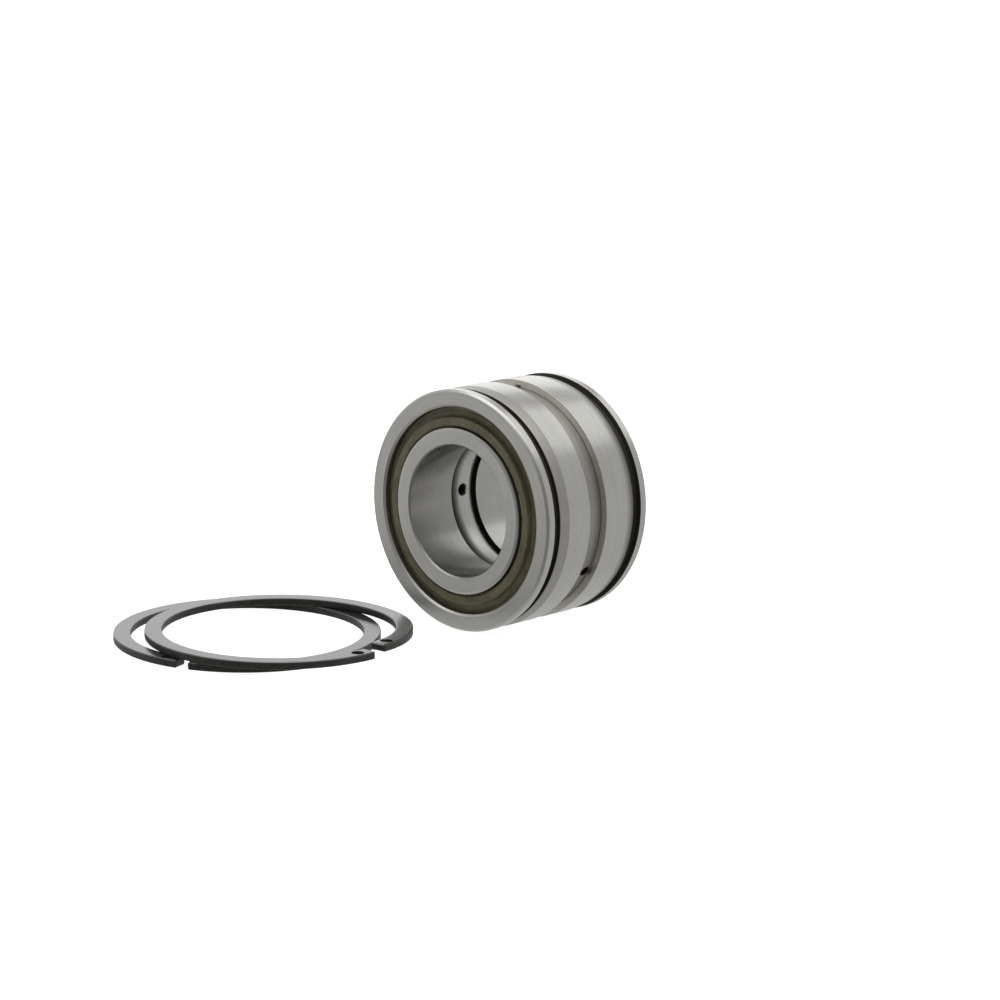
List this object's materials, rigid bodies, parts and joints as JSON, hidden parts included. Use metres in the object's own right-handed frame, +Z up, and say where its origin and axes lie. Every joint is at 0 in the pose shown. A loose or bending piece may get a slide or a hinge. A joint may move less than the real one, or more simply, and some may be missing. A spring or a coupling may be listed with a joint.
{
  "type": "cylindrical roller bearing",
  "caption": "Sealed double-row cylindrical roller bearing with a split inner ring, grooved outer ring and two loose snap rings lying beside it.",
  "frame": {"origin": "on the standing surface, under the middle of the whole set (bearing and snap rings together)", "axes": "+Z up; +Y along the bearing axis from its front towards its rear; +X to the right seen from the front"},
  "size_m": [0.0851, 0.1018, 0.055],
  "materials": {
    "ground_steel": "fine ground bearing steel with turned grooves",
    "roller_steel": "ground and polished rollers",
    "band_steel": "plain rolled strip steel",
    "black_steel": "black oxide spring steel, satin",
    "seal_elastomer": "olive translucent polyurethane, satin"
  },
  "bodies": {
    "outer_ring": {"outer_ring": "ground_steel", "seal_front": "seal_elastomer", "seal_rear": "seal_elastomer"},
    "inner_ring": {"inner_ring_front": "ground_steel", "inner_ring_rear": "ground_steel", "retaining_band": "band_steel"},
    "snap_ring_lower": {"snap_ring_lower": "black_steel"},
    "snap_ring_upper": {"snap_ring_upper": "black_steel"},
    "roller_front_01": {"roller_front_01": "roller_steel"},
    "roller_front_02": {"roller_front_02": "roller_steel"},
    "roller_front_03": {"roller_front_03": "roller_steel"},
    "roller_front_04": {"roller_front_04": "roller_steel"},
    "roller_front_05": {"roller_front_05": "roller_steel"},
    "roller_front_06": {"roller_front_06": "roller_steel"},
    "roller_front_07": {"roller_front_07": "roller_steel"},
    "roller_front_08": {"roller_front_08": "roller_steel"},
    "roller_front_09": {"roller_front_09": "roller_steel"},
    "roller_front_10": {"roller_front_10": "roller_steel"},
    "roller_front_11": {"roller_front_11": "roller_steel"},
    "roller_front_12": {"roller_front_12": "roller_steel"},
    "roller_front_13": {"roller_front_13": "roller_steel"},
    "roller_front_14": {"roller_front_14": "roller_steel"},
    "roller_front_15": {"roller_front_15": "roller_steel"},
    "roller_front_16": {"roller_front_16": "roller_steel"},
    "roller_front_17": {"roller_front_17": "roller_steel"},
    "roller_front_18": {"roller_front_18": "roller_steel"},
    "roller_front_19": {"roller_front_19": "roller_steel"},
    "roller_front_20": {"roller_front_20": "roller_steel"},
    "roller_front_21": {"roller_front_21": "roller_steel"},
    "roller_rear_01": {"roller_rear_01": "roller_steel"},
    "roller_rear_02": {"roller_rear_02": "roller_steel"},
    "roller_rear_03": {"roller_rear_03": "roller_steel"},
    "roller_rear_04": {"roller_rear_04": "roller_steel"},
    "roller_rear_05": {"roller_rear_05": "roller_steel"},
    "roller_rear_06": {"roller_rear_06": "roller_steel"},
    "roller_rear_07": {"roller_rear_07": "roller_steel"},
    "roller_rear_08": {"roller_rear_08": "roller_steel"},
    "roller_rear_09": {"roller_rear_09": "roller_steel"},
    "roller_rear_10": {"roller_rear_10": "roller_steel"},
    "roller_rear_11": {"roller_rear_11": "roller_steel"},
    "roller_rear_12": {"roller_rear_12": "roller_steel"},
    "roller_rear_13": {"roller_rear_13": "roller_steel"},
    "roller_rear_14": {"roller_rear_14": "roller_steel"},
    "roller_rear_15": {"roller_rear_15": "roller_steel"},
    "roller_rear_16": {"roller_rear_16": "roller_steel"},
    "roller_rear_17": {"roller_rear_17": "roller_steel"},
    "roller_rear_18": {"roller_rear_18": "roller_steel"},
    "roller_rear_19": {"roller_rear_19": "roller_steel"},
    "roller_rear_20": {"roller_rear_20": "roller_steel"},
    "roller_rear_21": {"roller_rear_21": "roller_steel"}
  },
  "joints": [
    {"name": "inner_ring_spin", "type": "hinge", "parent": "outer_ring", "child": "inner_ring", "pos_m": [0.01505, 0.0339, 0.0275], "axis": [0, 1, 0], "continuous": true},
    {"name": "front_row_orbit", "type": "hinge", "parent": "outer_ring", "child": "roller_front_01", "pos_m": [0.01505, 0.0339, 0.0275], "axis": [0, 1, 0], "continuous": true},
    {"name": "roller_front_02_spin", "type": "hinge", "parent": "roller_front_01", "child": "roller_front_02", "pos_m": [0.00907, 0.026, 0.0469], "axis": [0, 1, 0], "continuous": true},
    {"name": "roller_front_03_spin", "type": "hinge", "parent": "roller_front_01", "child": "roller_front_03", "pos_m": [0.00362, 0.026, 0.04427], "axis": [0, 1, 0], "continuous": true},
    {"name": "roller_front_04_spin", "type": "hinge", "parent": "roller_front_01", "child": "roller_front_04", "pos_m": [-0.00082, 0.026, 0.04016], "axis": [0, 1, 0], "continuous": true},
    {"name": "roller_front_05_spin", "type": "hinge", "parent": "roller_front_01", "child": "roller_front_05", "pos_m": [-0.00385, 0.026, 0.03492], "axis": [0, 1, 0], "continuous": true},
    {"name": "roller_front_06_spin", "type": "hinge", "parent": "roller_front_01", "child": "roller_front_06", "pos_m": [-0.00519, 0.026, 0.02902], "axis": [0, 1, 0], "continuous": true},
    {"name": "roller_front_07_spin", "type": "hinge", "parent": "roller_front_01", "child": "roller_front_07", "pos_m": [-0.00474, 0.026, 0.02298], "axis": [0, 1, 0], "continuous": true},
    {"name": "roller_front_08_spin", "type": "hinge", "parent": "roller_front_01", "child": "roller_front_08", "pos_m": [-0.00253, 0.026, 0.01735], "axis": [0, 1, 0], "continuous": true},
    {"name": "roller_front_09_spin", "type": "hinge", "parent": "roller_front_01", "child": "roller_front_09", "pos_m": [0.00124, 0.026, 0.01262], "axis": [0, 1, 0], "continuous": true},
    {"name": "roller_front_10_spin", "type": "hinge", "parent": "roller_front_01", "child": "roller_front_10", "pos_m": [0.00624, 0.026, 0.00921], "axis": [0, 1, 0], "continuous": true},
    {"name": "roller_front_11_spin", "type": "hinge", "parent": "roller_front_01", "child": "roller_front_11", "pos_m": [0.01202, 0.026, 0.00743], "axis": [0, 1, 0], "continuous": true},
    {"name": "roller_front_12_spin", "type": "hinge", "parent": "roller_front_01", "child": "roller_front_12", "pos_m": [0.01808, 0.026, 0.00743], "axis": [0, 1, 0], "continuous": true},
    {"name": "roller_front_13_spin", "type": "hinge", "parent": "roller_front_01", "child": "roller_front_13", "pos_m": [0.02386, 0.026, 0.00921], "axis": [0, 1, 0], "continuous": true},
    {"name": "roller_front_14_spin", "type": "hinge", "parent": "roller_front_01", "child": "roller_front_14", "pos_m": [0.02886, 0.026, 0.01262], "axis": [0, 1, 0], "continuous": true},
    {"name": "roller_front_15_spin", "type": "hinge", "parent": "roller_front_01", "child": "roller_front_15", "pos_m": [0.03263, 0.026, 0.01735], "axis": [0, 1, 0], "continuous": true},
    {"name": "roller_front_16_spin", "type": "hinge", "parent": "roller_front_01", "child": "roller_front_16", "pos_m": [0.03484, 0.026, 0.02298], "axis": [0, 1, 0], "continuous": true},
    {"name": "roller_front_17_spin", "type": "hinge", "parent": "roller_front_01", "child": "roller_front_17", "pos_m": [0.03529, 0.026, 0.02902], "axis": [0, 1, 0], "continuous": true},
    {"name": "roller_front_18_spin", "type": "hinge", "parent": "roller_front_01", "child": "roller_front_18", "pos_m": [0.03395, 0.026, 0.03492], "axis": [0, 1, 0], "continuous": true},
    {"name": "roller_front_19_spin", "type": "hinge", "parent": "roller_front_01", "child": "roller_front_19", "pos_m": [0.03092, 0.026, 0.04016], "axis": [0, 1, 0], "continuous": true},
    {"name": "roller_front_20_spin", "type": "hinge", "parent": "roller_front_01", "child": "roller_front_20", "pos_m": [0.02649, 0.026, 0.04427], "axis": [0, 1, 0], "continuous": true},
    {"name": "roller_front_21_spin", "type": "hinge", "parent": "roller_front_01", "child": "roller_front_21", "pos_m": [0.02103, 0.026, 0.0469], "axis": [0, 1, 0], "continuous": true},
    {"name": "rear_row_orbit", "type": "hinge", "parent": "outer_ring", "child": "roller_rear_01", "pos_m": [0.01505, 0.0339, 0.0275], "axis": [0, 1, 0], "continuous": true},
    {"name": "roller_rear_02_spin", "type": "hinge", "parent": "roller_rear_01", "child": "roller_rear_02", "pos_m": [0.00624, 0.0418, 0.04579], "axis": [0, 1, 0], "continuous": true},
    {"name": "roller_rear_03_spin", "type": "hinge", "parent": "roller_rear_01", "child": "roller_rear_03", "pos_m": [0.00124, 0.0418, 0.04238], "axis": [0, 1, 0], "continuous": true},
    {"name": "roller_rear_04_spin", "type": "hinge", "parent": "roller_rear_01", "child": "roller_rear_04", "pos_m": [-0.00253, 0.0418, 0.03765], "axis": [0, 1, 0], "continuous": true},
    {"name": "roller_rear_05_spin", "type": "hinge", "parent": "roller_rear_01", "child": "roller_rear_05", "pos_m": [-0.00474, 0.0418, 0.03202], "axis": [0, 1, 0], "continuous": true},
    {"name": "roller_rear_06_spin", "type": "hinge", "parent": "roller_rear_01", "child": "roller_rear_06", "pos_m": [-0.00519, 0.0418, 0.02598], "axis": [0, 1, 0], "continuous": true},
    {"name": "roller_rear_07_spin", "type": "hinge", "parent": "roller_rear_01", "child": "roller_rear_07", "pos_m": [-0.00385, 0.0418, 0.02008], "axis": [0, 1, 0], "continuous": true},
    {"name": "roller_rear_08_spin", "type": "hinge", "parent": "roller_rear_01", "child": "roller_rear_08", "pos_m": [-0.00082, 0.0418, 0.01484], "axis": [0, 1, 0], "continuous": true},
    {"name": "roller_rear_09_spin", "type": "hinge", "parent": "roller_rear_01", "child": "roller_rear_09", "pos_m": [0.00362, 0.0418, 0.01073], "axis": [0, 1, 0], "continuous": true},
    {"name": "roller_rear_10_spin", "type": "hinge", "parent": "roller_rear_01", "child": "roller_rear_10", "pos_m": [0.00907, 0.0418, 0.0081], "axis": [0, 1, 0], "continuous": true},
    {"name": "roller_rear_11_spin", "type": "hinge", "parent": "roller_rear_01", "child": "roller_rear_11", "pos_m": [0.01505, 0.0418, 0.0072], "axis": [0, 1, 0], "continuous": true},
    {"name": "roller_rear_12_spin", "type": "hinge", "parent": "roller_rear_01", "child": "roller_rear_12", "pos_m": [0.02103, 0.0418, 0.0081], "axis": [0, 1, 0], "continuous": true},
    {"name": "roller_rear_13_spin", "type": "hinge", "parent": "roller_rear_01", "child": "roller_rear_13", "pos_m": [0.02649, 0.0418, 0.01073], "axis": [0, 1, 0], "continuous": true},
    {"name": "roller_rear_14_spin", "type": "hinge", "parent": "roller_rear_01", "child": "roller_rear_14", "pos_m": [0.03092, 0.0418, 0.01484], "axis": [0, 1, 0], "continuous": true},
    {"name": "roller_rear_15_spin", "type": "hinge", "parent": "roller_rear_01", "child": "roller_rear_15", "pos_m": [0.03395, 0.0418, 0.02008], "axis": [0, 1, 0], "continuous": true},
    {"name": "roller_rear_16_spin", "type": "hinge", "parent": "roller_rear_01", "child": "roller_rear_16", "pos_m": [0.03529, 0.0418, 0.02598], "axis": [0, 1, 0], "continuous": true},
    {"name": "roller_rear_17_spin", "type": "hinge", "parent": "roller_rear_01", "child": "roller_rear_17", "pos_m": [0.03484, 0.0418, 0.03202], "axis": [0, 1, 0], "continuous": true},
    {"name": "roller_rear_18_spin", "type": "hinge", "parent": "roller_rear_01", "child": "roller_rear_18", "pos_m": [0.03263, 0.0418, 0.03765], "axis": [0, 1, 0], "continuous": true},
    {"name": "roller_rear_19_spin", "type": "hinge", "parent": "roller_rear_01", "child": "roller_rear_19", "pos_m": [0.02886, 0.0418, 0.04238], "axis": [0, 1, 0], "continuous": true},
    {"name": "roller_rear_20_spin", "type": "hinge", "parent": "roller_rear_01", "child": "roller_rear_20", "pos_m": [0.02386, 0.0418, 0.04579], "axis": [0, 1, 0], "continuous": true},
    {"name": "roller_rear_21_spin", "type": "hinge", "parent": "roller_rear_01", "child": "roller_rear_21", "pos_m": [0.01808, 0.0418, 0.04757], "axis": [0, 1, 0], "continuous": true},
    {"name": "snap_ring_lower_lift", "type": "slide", "parent": "outer_ring", "child": "snap_ring_lower", "axis": [0, 0, 1], "range_m": [0, 0.05]},
    {"name": "snap_ring_upper_lift", "type": "slide", "parent": "snap_ring_lower", "child": "snap_ring_upper", "axis": [0, 0, 1], "range_m": [0, 0.05]}
  ],
  "couplings": [
    {"joint": "front_row_orbit", "follows": "inner_ring_spin", "ratio": 0.42611},
    {"joint": "roller_front_02_spin", "follows": "inner_ring_spin", "ratio": -3.3094},
    {"joint": "roller_front_03_spin", "follows": "inner_ring_spin", "ratio": -3.3094},
    {"joint": "roller_front_04_spin", "follows": "inner_ring_spin", "ratio": -3.3094},
    {"joint": "roller_front_05_spin", "follows": "inner_ring_spin", "ratio": -3.3094},
    {"joint": "roller_front_06_spin", "follows": "inner_ring_spin", "ratio": -3.3094},
    {"joint": "roller_front_07_spin", "follows": "inner_ring_spin", "ratio": -3.3094},
    {"joint": "roller_front_08_spin", "follows": "inner_ring_spin", "ratio": -3.3094},
    {"joint": "roller_front_09_spin", "follows": "inner_ring_spin", "ratio": -3.3094},
    {"joint": "roller_front_10_spin", "follows": "inner_ring_spin", "ratio": -3.3094},
    {"joint": "roller_front_11_spin", "follows": "inner_ring_spin", "ratio": -3.3094},
    {"joint": "roller_front_12_spin", "follows": "inner_ring_spin", "ratio": -3.3094},
    {"joint": "roller_front_13_spin", "follows": "inner_ring_spin", "ratio": -3.3094},
    {"joint": "roller_front_14_spin", "follows": "inner_ring_spin", "ratio": -3.3094},
    {"joint": "roller_front_15_spin", "follows": "inner_ring_spin", "ratio": -3.3094},
    {"joint": "roller_front_16_spin", "follows": "inner_ring_spin", "ratio": -3.3094},
    {"joint": "roller_front_17_spin", "follows": "inner_ring_spin", "ratio": -3.3094},
    {"joint": "roller_front_18_spin", "follows": "inner_ring_spin", "ratio": -3.3094},
    {"joint": "roller_front_19_spin", "follows": "inner_ring_spin", "ratio": -3.3094},
    {"joint": "roller_front_20_spin", "follows": "inner_ring_spin", "ratio": -3.3094},
    {"joint": "roller_front_21_spin", "follows": "inner_ring_spin", "ratio": -3.3094},
    {"joint": "rear_row_orbit", "follows": "inner_ring_spin", "ratio": 0.42611},
    {"joint": "roller_rear_02_spin", "follows": "inner_ring_spin", "ratio": -3.3094},
    {"joint": "roller_rear_03_spin", "follows": "inner_ring_spin", "ratio": -3.3094},
    {"joint": "roller_rear_04_spin", "follows": "inner_ring_spin", "ratio": -3.3094},
    {"joint": "roller_rear_05_spin", "follows": "inner_ring_spin", "ratio": -3.3094},
    {"joint": "roller_rear_06_spin", "follows": "inner_ring_spin", "ratio": -3.3094},
    {"joint": "roller_rear_07_spin", "follows": "inner_ring_spin", "ratio": -3.3094},
    {"joint": "roller_rear_08_spin", "follows": "inner_ring_spin", "ratio": -3.3094},
    {"joint": "roller_rear_09_spin", "follows": "inner_ring_spin", "ratio": -3.3094},
    {"joint": "roller_rear_10_spin", "follows": "inner_ring_spin", "ratio": -3.3094},
    {"joint": "roller_rear_11_spin", "follows": "inner_ring_spin", "ratio": -3.3094},
    {"joint": "roller_rear_12_spin", "follows": "inner_ring_spin", "ratio": -3.3094},
    {"joint": "roller_rear_13_spin", "follows": "inner_ring_spin", "ratio": -3.3094},
    {"joint": "roller_rear_14_spin", "follows": "inner_ring_spin", "ratio": -3.3094},
    {"joint": "roller_rear_15_spin", "follows": "inner_ring_spin", "ratio": -3.3094},
    {"joint": "roller_rear_16_spin", "follows": "inner_ring_spin", "ratio": -3.3094},
    {"joint": "roller_rear_17_spin", "follows": "inner_ring_spin", "ratio": -3.3094},
    {"joint": "roller_rear_18_spin", "follows": "inner_ring_spin", "ratio": -3.3094},
    {"joint": "roller_rear_19_spin", "follows": "inner_ring_spin", "ratio": -3.3094},
    {"joint": "roller_rear_20_spin", "follows": "inner_ring_spin", "ratio": -3.3094},
    {"joint": "roller_rear_21_spin", "follows": "inner_ring_spin", "ratio": -3.3094}
  ]
}
